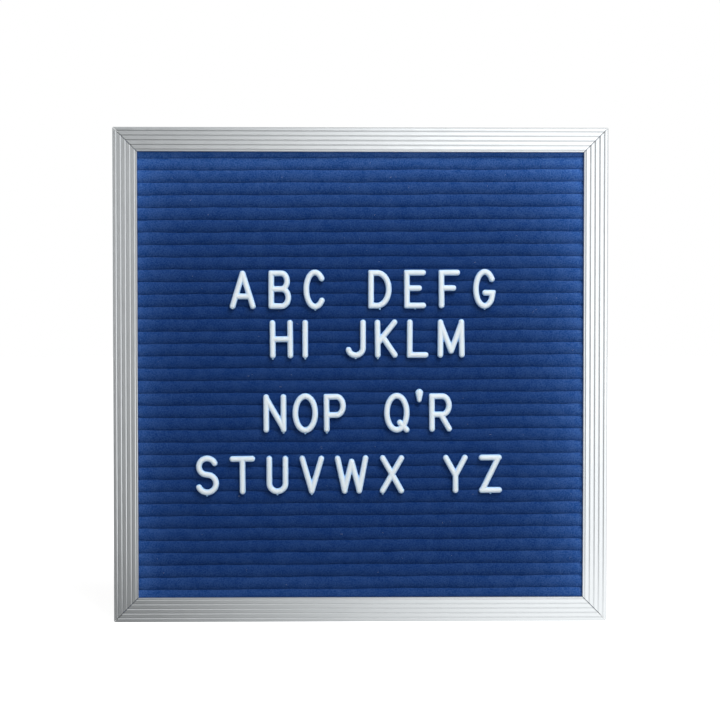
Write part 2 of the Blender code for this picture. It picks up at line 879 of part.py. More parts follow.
def letter_w(c):
    peak = (0, c.head - 0.1 * c.rise)
    valleys = (c.left * 0.52, c.right * 0.52)
    strokes = []
    for edge, valley in zip((c.left, c.right), valleys):
        strokes.append([(edge, c.head), (valley, c.foot)])
        strokes.append([(valley, c.foot + TUCK), peak])
    strokes[-1] = tucked(*strokes[-1])
    return strokes, []


def letter_x(c):
    return [[(c.left, c.foot), (c.right, c.head)], [(c.left, c.head), (c.right, c.foot)]], []


def letter_y(c):
    fork = (0, c.foot + 0.46 * c.rise)
    arms = [[(c.left, c.head), fork], tucked((c.right, c.head), fork)]
    return [*arms, tucked((0, c.foot), fork)], []


def letter_z(c):
    rails = [[(c.left, z), (c.right, z)] for z in (c.head, c.foot)]
    return [*rails, [(c.left + TUCK, c.foot + TUCK), (c.right - TUCK, c.head - TUCK)]], []


LETTER_SHAPES = {
    "a": letter_a, "b": letter_b, "c": letter_c, "d": letter_d, "e": letter_e, "f": letter_f,
    "g": letter_g, "h": letter_h, "i": letter_i, "j": letter_j, "k": letter_k, "l": letter_l,
    "m": letter_m, "n": letter_n, "o": letter_o, "p": letter_p, "q": letter_q, "r": letter_r,
    "s": letter_s, "t": letter_t, "u": letter_u, "v": letter_v, "w": letter_w, "x": letter_x,
    "y": letter_y, "z": letter_z,
}

# Where the moulding gate broke off, as a share of the way from the middle to the right stroke
GATE_NUBS = {
    "c": 0, "d": 0, "e": 0, "g": 0, "h": -1, "i": 0, "j": 0, "k": -1, "n": 1, "o": 0, "p": -1,
    "s": 0, "u": 0, "v": 0, "x": -1, "z": 0,
}


# Whole letters


def apostrophe_stroke():
    """A short tapered stroke that stands above the other letters: its path and half widths."""
    top = CAP_HEIGHT + APOSTROPHE_RISE - APOSTROPHE_HEAD
    low = CAP_HEIGHT + APOSTROPHE_RISE - APOSTROPHE_HEIGHT + APOSTROPHE_FOOT
    return [(0, top), (0, low)], [APOSTROPHE_HEAD, APOSTROPHE_FOOT]


def path_points(path):
    """Points close together along a path."""
    points = [path[0]]
    for a, b in zip(path, path[1:]):
        steps = max(1, math.ceil(math.dist(a, b) / PATH_STEP))
        points += [between(a, b, k / steps) for k in range(1, steps + 1)]
    return points


def tab_spots(paths, row):
    """Where tabs stand at this height: behind the outermost strokes that cross it."""
    thickness = SLOT_WIDTH - 2 * TAB_SIDE_GAP
    within = HALF_STROKE / 2 - thickness / 2
    crossing = [x for path in paths for x, z in path_points(path) if abs(z - row) <= within]
    if not crossing:
        return []
    first, last = min(crossing), max(crossing)
    if last - first < 2 * TAB_WIDTH:
        return [min(crossing, key=lambda x: abs(x - (first + last) / 2))]
    return [first, last]


def tab_mesh(x, row):
    """A thin tab from inside the letter's back down into the groove."""
    half_thickness = SLOT_WIDTH / 2 - TAB_SIDE_GAP
    reach = FELT_SLOT_FLOOR - TAB_TIP_GAP - LETTER_BACK
    return box(
        (x - TAB_WIDTH / 2, -TAB_ROOT, row - half_thickness),
        (x + TAB_WIDTH / 2, reach, row + half_thickness),
    )


def gate_nub(x, foot):
    """The torn stub of the moulding gate under a letter's foot."""
    rings = []
    stations = (
        (GATE_NUB_RADIUS, foot + HALF_STROKE / 2),
        (GATE_NUB_RADIUS, foot),
        (GATE_NUB_TIP, foot - GATE_NUB_LENGTH),
    )
    for radius, z in stations:
        ring = []
        for k in range(END_STEPS):
            angle = 2 * math.pi * k / END_STEPS
            y = -GATE_NUB_RADIUS - SEAT_GAP / 2 + radius * math.sin(angle)
            ring.append((x + radius * math.cos(angle), y, z))
        rings.append(ring)
    return loft(rings)


def letter_mesh(letter):
    """A whole letter: its strokes, the tabs on its back and its gate nub, in one solid."""
    if letter == "'":
        path, half_widths = apostrophe_stroke()
        paths, bodies = [path], [open_stroke(path, half_widths)]
        rows = [FOOT_BELOW_GROOVE + APOSTROPHE_ROW * RIB_PITCH]
    else:
        cell = letter_cell(LETTER_WIDTHS[letter] * MM)
        opened, closed = LETTER_SHAPES[letter](cell)
        paths = opened + [[*path, path[0]] for path in closed]
        bodies = [open_stroke(path) for path in opened]
        bodies += [closed_stroke(path) for path in closed]
        rows = [FOOT_BELOW_GROOVE + row * RIB_PITCH for row in TAB_ROWS]
    for row in rows:
        bodies += [tab_mesh(x, row) for x in tab_spots(paths, row)]
    if letter in GATE_NUBS:
        foot = min(z for path in paths for _, z in path) - HALF_STROKE
        bodies.append(gate_nub(GATE_NUBS[letter] * cell.right, foot))
    return joined(bodies)


def letter_places():
    """Every letter with its place along the line and the height of its foot, in the panel's frame."""
    places = []
    for letters, groove, start, letter_gap, word_gap in LINES:
        foot = groove_height(groove) - FOOT_BELOW_GROOVE
        x = start
        for word in letters.split():
            for letter in word:
                width = LETTER_WIDTHS[letter] * MM
                places.append((letter, x + width / 2, foot))
                x += width + letter_gap
            x += word_gap - letter_gap
    return places


def add_letters(material, panel):
    for number, (letter, x, foot) in enumerate(letter_places()):
        name = "apostrophe" if letter == "'" else letter
        tilt = Matrix.Rotation(LETTER_TILT * math.sin(TILT_STEP * number), 4, "Y")
        place = Matrix.Translation((x, at_depth(LETTER_BACK), foot)) @ tilt
        add_piece(f"letter_{name}", letter_mesh(letter), material, place, panel)


def main():
    clear_scene()
    aluminium = finish("satin anodised aluminium", (0.62, 0.63, 0.64), 0.35, 1.0)
    felt = finish("blue felt", (0.016, 0.055, 0.17), 0.95, 0.0)
    fibreboard = finish("grooved fibreboard", (0.36, 0.24, 0.14), 0.9, 0.0)
    hardboard = finish("brown hardboard", (0.19, 0.10, 0.05), 0.7, 0.0)
    steel = finish("zinc plated steel", (0.55, 0.56, 0.58), 0.4, 1.0)
    spring_steel = finish("blued spring steel", (0.30, 0.31, 0.33), 0.4, 1.0)
    plastic = finish("white letter plastic", (0.78, 0.81, 0.84), 0.35, 0.0)

    add_rails(aluminium)
    add_corner_hardware(steel)
    panel_place = turned_frame(0, CENTRE_HEIGHT + PANEL_RISE, -PANEL_TURN)
    panel = add_frame("panel_frame", panel_place)
    add_piece("felt", felt_mesh(), felt, parent=panel)
    add_piece("core_board", core_mesh(), fibreboard, parent=panel)
    add_back(hardboard, steel, spring_steel)
    add_letters(plastic, panel)


main()
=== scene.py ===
"""Looks of the felt letter board: satin aluminium rails, ribbed blue felt and white letters.

The board stands on its bottom rail with its front towards -Y. All lengths are in metres.
"""

import math
import random
from types import SimpleNamespace

import bpy
from mathutils import Matrix, Vector


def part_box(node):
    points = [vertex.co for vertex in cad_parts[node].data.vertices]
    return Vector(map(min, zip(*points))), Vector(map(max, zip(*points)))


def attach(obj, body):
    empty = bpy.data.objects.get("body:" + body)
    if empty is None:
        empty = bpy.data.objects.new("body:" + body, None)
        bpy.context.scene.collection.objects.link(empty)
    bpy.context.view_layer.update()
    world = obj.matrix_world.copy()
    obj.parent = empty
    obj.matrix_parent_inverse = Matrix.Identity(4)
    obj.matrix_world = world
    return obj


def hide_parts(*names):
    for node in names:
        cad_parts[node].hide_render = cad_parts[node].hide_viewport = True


MM = 0.001

# Sizes that the solids have too
BOARD = 254 * MM
FACE_WIDTH = 12.55 * MM
FRAME_DEPTH = 16 * MM
RIB_PITCH = 6.35 * MM
RIBS = 39
SLOT_WIDTH = 1.2 * MM
SLOT_DEPTH = 3.0 * MM
RIB_CROWN = 0.85 * MM
FELT_THICKNESS = 0.8 * MM
FELT_CREST = 2.2 * MM
LETTER_BACK = 1.9 * MM
PANEL_TURN = math.radians(0.26)
PANEL_RISE = 0.8 * MM
CAP_HEIGHT = 19.8 * MM
STROKE_WIDTH = 3.0 * MM
HALF_STROKE = STROKE_WIDTH / 2
LETTER_THICKNESS = 1.8 * MM
OVERSHOOT = 0.35 * MM
FOOT_BELOW_GROOVE = 1.5 * MM
TUCK = 0.6 * MM
PATH_STEP = 0.3 * MM
TAB_WIDTH = 2.4 * MM
TAB_THICKNESS = 0.6 * MM
TAB_REACH = 2.7 * MM
TAB_ROOT = 0.4 * MM
TAB_ROWS = (0, 2)
GATE_NUB_LENGTH = 0.5 * MM
LETTER_TILT = math.radians(0.45)
TILT_STEP = 2.4
APOSTROPHE_RISE = 2.3 * MM
APOSTROPHE_HEIGHT = 6.9 * MM
APOSTROPHE_HEAD = 2.05 * MM
APOSTROPHE_FOOT = 1.25 * MM

# The felt as it looks: its lips nearly close the slots, its crests are round, and its seams
# stray in depth and in height by sums of waves, each (share, radians a metre along the rib)
SLOT_MOUTH = 0.12 * MM
SLOT_WALL_STOPS = (0.3, 0.6, 0.85)
SLOT_BED_STOPS = (0.2, 0.8)
CROWN_POWER = 2.2
CROWN_STEPS = 14
FELT_COLUMNS = 70
FELT_WAVER = 0.19 * MM
FELT_WAVES = (((0.6, 60), (0.4, 190)), ((0.6, 95), (0.4, 310)))
FELT_CREASE = math.radians(80)

# Lint on the felt
LINT_THREADS = 80
LINT_SPREAD = 110 * MM
LINT_RADIUS = 0.045 * MM
LINT_LENGTHS = (0.3 * MM, 1.1 * MM)
LINT_BEND = 1.5
LINT_LIFT = 0.1 * MM
LINT_STEPS = 7
LINT_SIDES = 3

# The letters as they look: fine steps along the strokes and up their section, which has upright
# sides at the back and is round from there to a flat top, a share of the stroke's width
ARC_STEP = math.radians(7)
END_STEPS = 14
DOME_STEPS = 7
DOME_POWER = 2.35
LETTER_SIDE = 0.42 * MM
TOP_SHARE = 0.36

# The mesh is made one skin and smoothed. That takes some width off the strokes, so they are
# swept wider by this share first
SWEEP_SHARE = 1.04
LETTER_GRAIN = 0.2 * MM
LETTER_SMOOTHING = 5
LETTER_KEEP = 0.35

# Corners with a longer mitre than this are rounded outside and get a small fillet inside, as
# shares of the way from the mitre to a full round
CORNER_REACH = 1.25
CORNER_ROUND = 0.55
CORNER_FILLET = 0.15
CORNER_STEPS = 4

# Tabs and gate nubs, as (distance along them, share of their full section)
TAB_SECTIONS = ((-TAB_ROOT, 1.0), (TAB_REACH * 0.75, 1.0), (TAB_REACH, 0.7))
GATE_NUB_SECTIONS = (
    (-HALF_STROKE / 2, 1.0), (0, 1.0), (GATE_NUB_LENGTH * 0.8, 0.95), (GATE_NUB_LENGTH, 0.7)
)
GATE_NUB_RADIUS = 0.5 * MM
GATE_NUB_LIFT = 0.15 * MM
GATE_NUB_SIDES = 10

# Painted light on the felt: its colour is painted lighter towards each rail, most towards the
# right
# and the top, standing in for the light that falls there and lifting the rails' shadows. Each row:
# the axis, its direction, the middle of the board on it, the share of the lighter colour at the
# rail, and the reach. The tint multiplies the felt's colour
PAINTED_LIGHT_AT_RAILS = (
    ("X", -1, 0, 0.36, 8 * MM),
    ("X", 1, 0, 0.48, 18 * MM),
    ("X", 1, 0, 0.45, 1.5 * MM),
    ("Z", 1, BOARD / 2, 0.46, 19 * MM),
    ("Z", 1, BOARD / 2, 0.20, 3.5 * MM),
    ("Z", -1, BOARD / 2, 0.17, 9 * MM),
)
PAINTED_LIGHT_TINT = (5.0, 3.9, 3.1, 1)

# Painted shade on the letters: their colour close to the felt is painted darker and bluer, for the
# shade and the felt's blue light on their flanks. Then their colour on their face, and where it
# changes, as shares of their thickness
LETTER_PAINTED_SHADE = (0.24, 0.52, 0.90)
LETTER_FACE = (0.79, 0.86, 0.905)
LETTER_PAINTED_SHADE_RISE = (0.45, 1.0)

# How the fibres' fine and coarse noise add up, and the sums at the dark and at the light tone
FINE_SHARE = 1.05
COARSE_SHARE = 0.3
FIBRE_TONES = (0.54, 0.80)

# The pieces that keep their CAD shapes: how their names start, their finish, and how wide their
# softened edges are
FIXED_PIECES = (
    (("rail_top", "rail_bottom"), "level_rail", 0.06 * MM),
    (("rail_left", "rail_right"), "upright_rail", 0.06 * MM),
    (("spring_clip",), "spring", 0.08 * MM),
    (("corner_", "sawtooth_", "hanger_screw"), "zinc", 0.08 * MM),
    (("backing_board",), "hardboard", 0.15 * MM),
    (("core_board",), "core", None),
)
EDGE_ANGLE = math.radians(20)

# The studio's plain light, where 1 is white, and how bright its sides are in the frame's gloss:
# the sideways part of a direction, from left to right, and the level there
WHITE = (1, 1, 1, 1)
ROOM_LIGHT = 0.33
STUDIO_SIDES = (
    (-1, 0.6), (-0.75, 0.93), (-0.45, 0.36), (-0.27, 0.35),
    (0.33, 0.85), (0.55, 0.9), (0.75, 1.03), (1, 0.8),
)

# The ceiling lifts those levels where a direction's upward part goes from the one to the other,
# and behind the board the studio turns white in the same way
CEILING_LIFT = 1.5
CEILING_SPAN = (0.3, 0.8)
BACK_SPAN = (-0.1, 0.6)

# The floor: how far it reaches, and how it brightens to white from the board outwards
FLOOR_HALF = 6
FLOOR_LIFT = 0.82
FLOOR_LIFT_SPAN = (0.25, 0.9)

# The floor in the frame's gloss: in front of the board its level rises from left to right over
# a strip that widens with the distance, and behind the board it is even
STRIP_HALF = 0.13
STRIP_SPREAD = 0.165
STRIP_SPAN = (-1.17, 1.1)
STRIP_LEVELS = (0.245, 1.5)
FLOOR_BEHIND = 0.8
FLOOR_BEHIND_SPAN = (-0.02, 0.1)

# A long lens, a little above and to the left of the board's middle
CAMERA_PLACE = Vector((-12.3, -757.7, 153.2)) * MM
CAMERA_AIM = Vector((-0.5, -8.0, 134.9)) * MM
CAMERA_LENS = 73.08
CAMERA_SENSOR = 36

# Overall width of each letter, in millimetres
LETTER_WIDTHS = {
    "a": 13.4, "b": 11.7, "c": 12.0, "d": 12.1, "e": 11.4, "f": 11.2, "g": 12.0,
    "h": 12.0, "i": 3.0, "j": 10.6, "k": 11.8, "l": 11.2, "m": 14.1, "n": 11.9,
    "o": 13.2, "p": 11.5, "q": 13.2, "r": 11.8, "s": 12.2, "t": 13.2, "u": 11.3,
    "v": 12.8, "w": 17.4, "x": 12.6, "y": 12.8, "z": 12.0, "'": 4.1,
}

# Each line: its letters, the groove under it counted from the top of the panel, the place of its
# left end, the gap between letters and the gap between words
LINES = (
    ("abc defg", 14, -67.2 * MM, 6.4 * MM, 21.1 * MM),
    ("hi jklm", 18, -46.7 * MM, 4.6 * MM, 19.1 * MM),
    ("nop q'r", 24, -50.3 * MM, 3.0 * MM, 19.4 * MM),
    ("stuvwx yz", 29, -85.5 * MM, 5.6 * MM, 20.1 * MM),
)

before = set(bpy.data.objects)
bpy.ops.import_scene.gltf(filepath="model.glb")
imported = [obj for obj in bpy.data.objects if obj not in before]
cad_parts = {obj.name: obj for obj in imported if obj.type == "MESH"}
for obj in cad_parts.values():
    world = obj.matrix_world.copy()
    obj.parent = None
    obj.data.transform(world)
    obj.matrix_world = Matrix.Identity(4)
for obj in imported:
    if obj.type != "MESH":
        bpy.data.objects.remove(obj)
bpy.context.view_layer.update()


def at_depth(depth):
    """The Y of a plane that lies this deep behind the front plane of the frame."""
    return depth - FRAME_DEPTH / 2

# Node building


def node(tree, kind, links=None, **settings):
    """A node with its settings; links maps input names or numbers to sockets or plain values."""
    made = tree.nodes.new(kind)
    for name, value in settings.items():
        setattr(made, name, value)
    for name, value in (links or {}).items():
        if isinstance(value, bpy.types.NodeSocket):
            tree.links.new(value, made.inputs[name])
        else:
            made.inputs[name].default_value = value
    return made


def maths(tree, operation, *values):
    """The result of a Math node, from sockets or plain values."""
    return node(tree, "ShaderNodeMath", dict(enumerate(values)), operation=operation).outputs[0]


def ranged(tree, value, span, levels=(0, 1), **settings):
    """The value, mapped from the span to the levels and held there beyond it."""
    links = {
        "Value": value,
        "From Min": span[0],
        "From Max": span[1],
        "To Min": levels[0],
        "To Max": levels[1],
    }
    return node(tree, "ShaderNodeMapRange", links, **settings).outputs[0]


def blend(tree, share, first, second):
    """A value this share of the way from the first to the second."""
    links = {"Factor": share, 2: first, 3: second}
    return node(tree, "ShaderNodeMix", links, data_type="FLOAT").outputs[0]


def blend_colours(tree, share, first, second, **settings):
    """The same for colours."""
    links = {"Factor": share, 6: first, 7: second}
    return node(tree, "ShaderNodeMix", links, data_type="RGBA", **settings).outputs[2]


def noise(tree, place, scale, detail, **sockets):
    links = {"Vector": place, "Scale": scale, "Detail": detail, **sockets}
    return node(tree, "ShaderNodeTexNoise", links).outputs[0]


def bump(tree, strength, distance, height):
    links = {"Strength": strength, "Distance": distance, "Height": height}
    return node(tree, "ShaderNodeBump", links).outputs[0]


def object_place(tree):
    return node(tree, "ShaderNodeTexCoord").outputs["Object"]


def split(tree, vector):
    """The sockets X, Y and Z of a vector."""
    return node(tree, "ShaderNodeSeparateXYZ", {0: vector}).outputs


def effect(name, inputs, outputs):
    """An empty shader node group with these sockets: the group, its input and its output node."""
    tree = bpy.data.node_groups.new(name, "ShaderNodeTree")
    for socket, (kind, value) in inputs.items():
        made = tree.interface.new_socket(socket, in_out="INPUT", socket_type=kind)
        made.default_value = value
    for socket, kind in outputs.items():
        tree.interface.new_socket(socket, in_out="OUTPUT", socket_type=kind)
    return tree, tree.nodes.new("NodeGroupInput"), tree.nodes.new("NodeGroupOutput")


def placed(tree, group, **values):
    """The effect's group inside a material, with its own values."""
    made = tree.nodes.new("ShaderNodeGroup")
    made.node_tree = group
    for name, value in values.items():
        made.inputs[name].default_value = value
    return made


def plain_finish(name, colour, roughness, metallic=0.0, **sockets):
    """A Principled material; returns it with its node tree and its shader."""
    made = bpy.data.materials.new(name)
    made.use_nodes = True
    shader = made.node_tree.nodes["Principled BSDF"]
    shader.inputs["Base Color"].default_value = (*colour, 1)
    shader.inputs["Roughness"].default_value = roughness
    shader.inputs["Metallic"].default_value = metallic
    for socket, value in sockets.items():
        shader.inputs[socket.replace("_", " ")].default_value = value
    return made, made.node_tree, shader


# Effects that several finishes share

FLOAT = "NodeSocketFloat"
COLOUR = "NodeSocketColor"
VECTOR = "NodeSocketVector"


def gloss_outputs(tree, start, end, cloud, middle, height, distance):
    """Lets the roughness stray with the cloud about its middle, and the height bump the normal."""
    stray = maths(tree, "SUBTRACT", cloud, middle)
    rough = maths(tree, "MULTIPLY_ADD", stray, start.outputs["Spread"], start.outputs["Roughness"])
    tree.links.new(rough, end.inputs["Roughness"])
    normal = bump(tree, start.outputs["Depth"], distance, height)
    tree.links.new(normal, end.inputs["Normal"])


def drawn_lines_effect():
    """Fine lines that the extrusion die leaves along a rail, as a roughness and a normal."""
    inputs = {
        "Stretch": (VECTOR, (1, 1, 1)),
        "Roughness": (FLOAT, 0.35),
        "Spread": (FLOAT, 0.06),
        "Depth": (FLOAT, 0.1),
    }
    tree, start, end = effect("drawn lines", inputs, {"Roughness": FLOAT, "Normal": VECTOR})
    place = object_place(tree)
    links = {0: place, 1: start.outputs["Stretch"]}
    stretched = node(tree, "ShaderNodeVectorMath", links, operation="MULTIPLY").outputs[0]
    lines = noise(tree, stretched, 1.0, 4.0)
    soft = noise(tree, place, 160.0, 3.0)
    gloss_outputs(tree, start, end, maths(tree, "ADD", lines, soft), 1.0, lines, 0.02 * MM)
    return tree


def fibre_effect():
    """Matted fibres: a colour that mottles between two tones, and a normal."""
    inputs = {
        "Dark": (COLOUR, (0, 0, 0, 1)),
        "Light": (COLOUR, (1, 1, 1, 1)),
        "Fine": (FLOAT, 2000.0),
        "Coarse": (FLOAT, 200.0),
        "Depth": (FLOAT, 0.5),
    }
    tree, start, end = effect("matted fibres", inputs, {"Colour": COLOUR, "Normal": VECTOR})
    place = object_place(tree)
    fine = noise(tree, place, start.outputs["Fine"], 5.0, Roughness=0.65)
    coarse = noise(tree, place, start.outputs["Coarse"], 3.0)
    less = maths(tree, "MULTIPLY", coarse, COARSE_SHARE)
    both = maths(tree, "MULTIPLY_ADD", fine, FINE_SHARE, less)
    share = ranged(tree, both, FIBRE_TONES)
    tone = blend_colours(tree, share, start.outputs["Dark"], start.outputs["Light"])
    tree.links.new(tone, end.inputs["Colour"])
    normal = bump(tree, start.outputs["Depth"], 0.25 * MM, fine)
    tree.links.new(normal, end.inputs["Normal"])
    return tree


def mottle_effect():
    """Slow changes of gloss on plated steel and moulded plastic."""
    inputs = {
        "Roughness": (FLOAT, 0.4),
        "Spread": (FLOAT, 0.1),
        "Scale": (FLOAT, 300.0),
        "Depth": (FLOAT, 0.1),
    }
    tree, start, end = effect("uneven gloss", inputs, {"Roughness": FLOAT, "Normal": VECTOR})
    cloud = noise(tree, object_place(tree), start.outputs["Scale"], 4.0)
    gloss_outputs(tree, start, end, cloud, 0.5, cloud, 0.1 * MM)
    return tree


# Finishes


def glossy_finish(name, gloss, colour, roughness, metallic, sockets=None, **values):
    """A finish whose gloss and normal come from an effect."""
    made, tree, shader = plain_finish(name, colour, roughness, metallic, **(sockets or {}))
    uneven = placed(tree, gloss, Roughness=roughness, **values)
    tree.links.new(uneven.outputs["Roughness"], shader.inputs["Roughness"])
    tree.links.new(uneven.outputs["Normal"], shader.inputs["Normal"])
    return made


def rail_finish(name, lines, stretch):
    return glossy_finish(
        name, lines, (0.62, 0.645, 0.66), 0.34, 1.0, Stretch=stretch, Spread=0.12, Depth=0.25
    )


def fibrous_finish(name, fibres, dark, light, roughness, sockets=None, **values):
    """A matte finish whose colour and normal come from the fibres."""
    made, tree, shader = plain_finish(name, light, roughness, **(sockets or {}))
    matted = placed(tree, fibres, Dark=(*dark, 1), Light=(*light, 1), **values)
    tree.links.new(matted.outputs["Colour"], shader.inputs["Base Color"])
    tree.links.new(matted.outputs["Normal"], shader.inputs["Normal"])
    return made


def paint_light_on_felt_at_rails(felt):
    """Painted light: makes the felt lighter close to the rails, most at the right and top, over
    the rails' shadows.
    """
    tree = felt.node_tree
    shader = tree.nodes["Principled BSDF"]
    colour = shader.inputs["Base Color"].links[0].from_socket
    parts = split(tree, object_place(tree))
    opening = BOARD / 2 - FACE_WIDTH
    total = 0.0
    for axis, sign, middle, amount, reach in PAINTED_LIGHT_AT_RAILS:
        start = (-sign * middle - opening) / reach
        run = maths(tree, "MULTIPLY_ADD", parts[axis], sign / reach, start)
        total = maths(tree, "MULTIPLY_ADD", maths(tree, "EXPONENT", run), amount, total)
    # painted light: the felt's colour is multiplied towards the lighter tint near the rails
    painted_lighter = blend_colours(tree, total, colour, PAINTED_LIGHT_TINT, blend_type="MULTIPLY")
    tree.links.new(painted_lighter, shader.inputs["Base Color"])


def paint_shade_on_letters_near_felt(plastic):
    """Painted shade: the letters are painted darker and bluer close to the felt, where their
    flanks lie in shade.
    """
    tree = plastic.node_tree
    depths = [at_depth(LETTER_BACK - share * LETTER_THICKNESS) for share in LETTER_PAINTED_SHADE_RISE]
    rise = ranged(tree, split(tree, object_place(tree))["Y"], depths)
    # painted shade: darker and bluer low on the letters, next to the felt
    colour = blend_colours(tree, rise, (*LETTER_PAINTED_SHADE, 1), (*LETTER_FACE, 1))
    tree.links.new(colour, tree.nodes["Principled BSDF"].inputs["Base Color"])


def all_finishes():
    lines = drawn_lines_effect()
    fibres = fibre_effect()
    gloss = mottle_effect()
    felt_sockets = {
        "Sheen_Weight": 0.12,
        "Sheen_Roughness": 0.4,
        "Sheen_Tint": (0.25, 0.45, 0.9, 1),
        "Specular_IOR_Level": 0.05,
    }
    plastic_sockets = {
        "Subsurface_Weight": 0.5,
        "Subsurface_Scale": 0.5 * MM,
        "Subsurface_Radius": (0.9, 1, 1),
    }
    return {
        "level_rail": rail_finish("satin_aluminium_level", lines, (60, 6000, 6000)),
        "upright_rail": rail_finish("satin_aluminium_upright", lines, (6000, 6000, 60)),
        "felt": fibrous_finish(
            "blue_felt", fibres, (0.0036, 0.0245, 0.120), (0.0170, 0.0505, 0.172), 0.95,
            felt_sockets, Fine=1400.0, Coarse=160.0, Depth=0.5,
        ),
        "core": fibrous_finish(
            "fibreboard", fibres, (0.25, 0.16, 0.09), (0.42, 0.30, 0.18), 0.9,
            Fine=900.0, Coarse=150.0, Depth=0.5,
        ),
        "hardboard": fibrous_finish(
            "brown_hardboard", fibres, (0.11, 0.055, 0.025), (0.23, 0.125, 0.06), 0.55,
            Fine=1100.0, Coarse=60.0, Depth=0.15,
        ),
        "zinc": glossy_finish(
            "zinc_plated_steel", gloss, (0.55, 0.56, 0.58), 0.34, 1.0,
            Spread=0.3, Scale=500.0, Depth=0.1,
        ),
        "spring": glossy_finish(
            "blued_spring_steel", gloss, (0.22, 0.24, 0.28), 0.3, 1.0,
            Spread=0.2, Scale=250.0, Depth=0.05,
        ),
        "plastic": glossy_finish(
            "white_moulded_plastic", gloss, LETTER_FACE, 0.33, 0.0, plastic_sockets,
            Spread=0.12, Scale=350.0, Depth=0.05,
        ),
        "lint": plain_finish("pale_lint", (0.42, 0.47, 0.55), 0.9)[0],
    }


# Frame and fittings, which keep their CAD shapes


def dress(piece, finish, edge):
    """Gives a CAD piece its finish, and softens its sharp edges where an edge width is given."""
    piece.data.materials.clear()
    piece.data.materials.append(finish)
    if edge:
        bevel = piece.modifiers.new("soft edges", "BEVEL")
        bevel.width = edge
        bevel.segments = 2
        bevel.limit_method = "ANGLE"
        bevel.angle_limit = EDGE_ANGLE
        bevel.harden_normals = False


def dress_fixed_pieces(finishes):
    for starts, finish, edge in FIXED_PIECES:
        for name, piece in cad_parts.items():
            if name.startswith(starts):
                dress(piece, finishes[finish], edge)


# Panel


def panel_place():
    rise = Matrix.Translation((0, 0, BOARD / 2 + PANEL_RISE))
    return rise @ Matrix.Rotation(-PANEL_TURN, 4, "Y")


def piece_from(name, points, faces, place, finish, smooth=True):
    mesh = bpy.data.meshes.new(name)
    mesh.from_pydata(points, [], faces)
    mesh.materials.append(finish)
    mesh.transform(place)
    if smooth:
        mesh.shade_smooth()
    piece = bpy.data.objects.new(name, mesh)
    bpy.context.scene.collection.objects.link(piece)
    return piece


def crown(share):
    """How far the rib has dropped from its crest, at this share of its half width."""
    return RIB_CROWN * abs(share) ** CROWN_POWER


def rib_centre(rib):
    return (rib - (RIBS - 1) / 2) * RIB_PITCH


def rib_line():
    """One rib and the slot above it, as (height from the rib's centre, depth), going up."""
    half_rib = (RIB_PITCH - SLOT_MOUTH) / 2
    line = []
    for k in range(CROWN_STEPS + 1):
        share = math.sin(math.pi * (k / CROWN_STEPS - 0.5))
        line.append((share * half_rib, FELT_CREST + crown(share)))
    wall = FELT_CREST + RIB_CROWN
    floor = FELT_CREST + SLOT_DEPTH
    side = [(half_rib, wall + share * (floor - wall)) for share in SLOT_WALL_STOPS]
    bed = [(half_rib + share * SLOT_MOUTH, floor) for share in SLOT_BED_STOPS]
    far = [(RIB_PITCH - height, depth) for height, depth in side[::-1]]
    return line + side + bed + far


def felt_front():
    """The front line of the felt from bottom to top, as (height, depth). Above the last rib it
    drops straight to the depth of the slots."""
    floor = FELT_CREST + SLOT_DEPTH
    end = RIBS * RIB_PITCH / 2
    line = [(-end, floor)]
    for rib in range(RIBS):
        line += [(rib_centre(rib) + height, depth) for height, depth in rib_line()]
    slot_points = len(rib_line()) - (CROWN_STEPS + 1)
    line = line[:-slot_points]
    return line + [(line[-1][0], floor), (end, floor)]


def felt_back():
    """The back line of the felt from top to bottom, with square ribs."""
    half_rib = (RIB_PITCH - SLOT_WIDTH) / 2 - FELT_THICKNESS
    crest = FELT_CREST + FELT_THICKNESS
    floor = FELT_CREST + SLOT_DEPTH + FELT_THICKNESS
    end = RIBS * RIB_PITCH / 2
    line = [(-end, floor)]
    for rib in range(RIBS):
        centre = rib_centre(rib)
        line += [
            (centre - half_rib, floor),
            (centre - half_rib, crest),
            (centre + half_rib, crest),
            (centre + half_rib, floor),
        ]
    line.append((end, floor))
    return line[::-1]


def wave(x, phases):
    """How far one seam of the pressed felt strays here, as shares in depth and height."""
    shifts = iter(phases)
    strays = []
    for waves in FELT_WAVES:
        strays.append(sum(share * math.sin(rate * x + next(shifts)) for share, rate in waves))
    return Vector(strays)


def waver(x, height, phases):
    """The same between two seams."""
    seam = min(max(height / RIB_PITCH + RIBS / 2, 0), RIBS)
    below = min(int(seam), RIBS - 1)
    return wave(x, phases[below]).lerp(wave(x, phases[below + 1]), seam - below)


def developed_length(line):
    return sum(math.dist(a, b) for a, b in zip(line, line[1:]))


def make_felt(finish):
    """The folded felt, a little uneven along its ribs, in place of the plain solid."""
    draw = random.Random(5)
    waves = sum(len(group) for group in FELT_WAVES)
    phases = [[draw.uniform(0, 2 * math.pi) for _ in range(waves)] for _ in range(RIBS + 1)]
    box_low, box_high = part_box("felt")
    width = (box_high.x - box_low.x) - math.sin(PANEL_TURN) * (box_high.z - box_low.z)
    front, back = felt_front(), felt_back()
    size = len(front) + len(back)
    points = []
    for column in range(FELT_COLUMNS + 1):
        x = (column / FELT_COLUMNS - 0.5) * width
        for height, depth in front:
            out, up = waver(x, height, phases)
            points.append((x, at_depth(depth + FELT_WAVER * out), height + FELT_WAVER * up))
        points += [(x, at_depth(depth), height) for height, depth in back]
    faces = []
    for column in range(FELT_COLUMNS):
        here, there = column * size, (column + 1) * size
        for k in range(size):
            after = (k + 1) % size
            faces.append((here + k, there + k, there + after, here + after))
    faces.append(tuple(range(size)))
    faces.append(tuple(range(len(points) - 1, len(points) - 1 - size, -1)))
    felt = piece_from("blue_felt", points, faces, panel_place(), finish)
    felt.data.set_sharp_from_angle(angle=FELT_CREASE)
    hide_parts("felt")
    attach(felt, "root")
    return felt, width, developed_length(front)


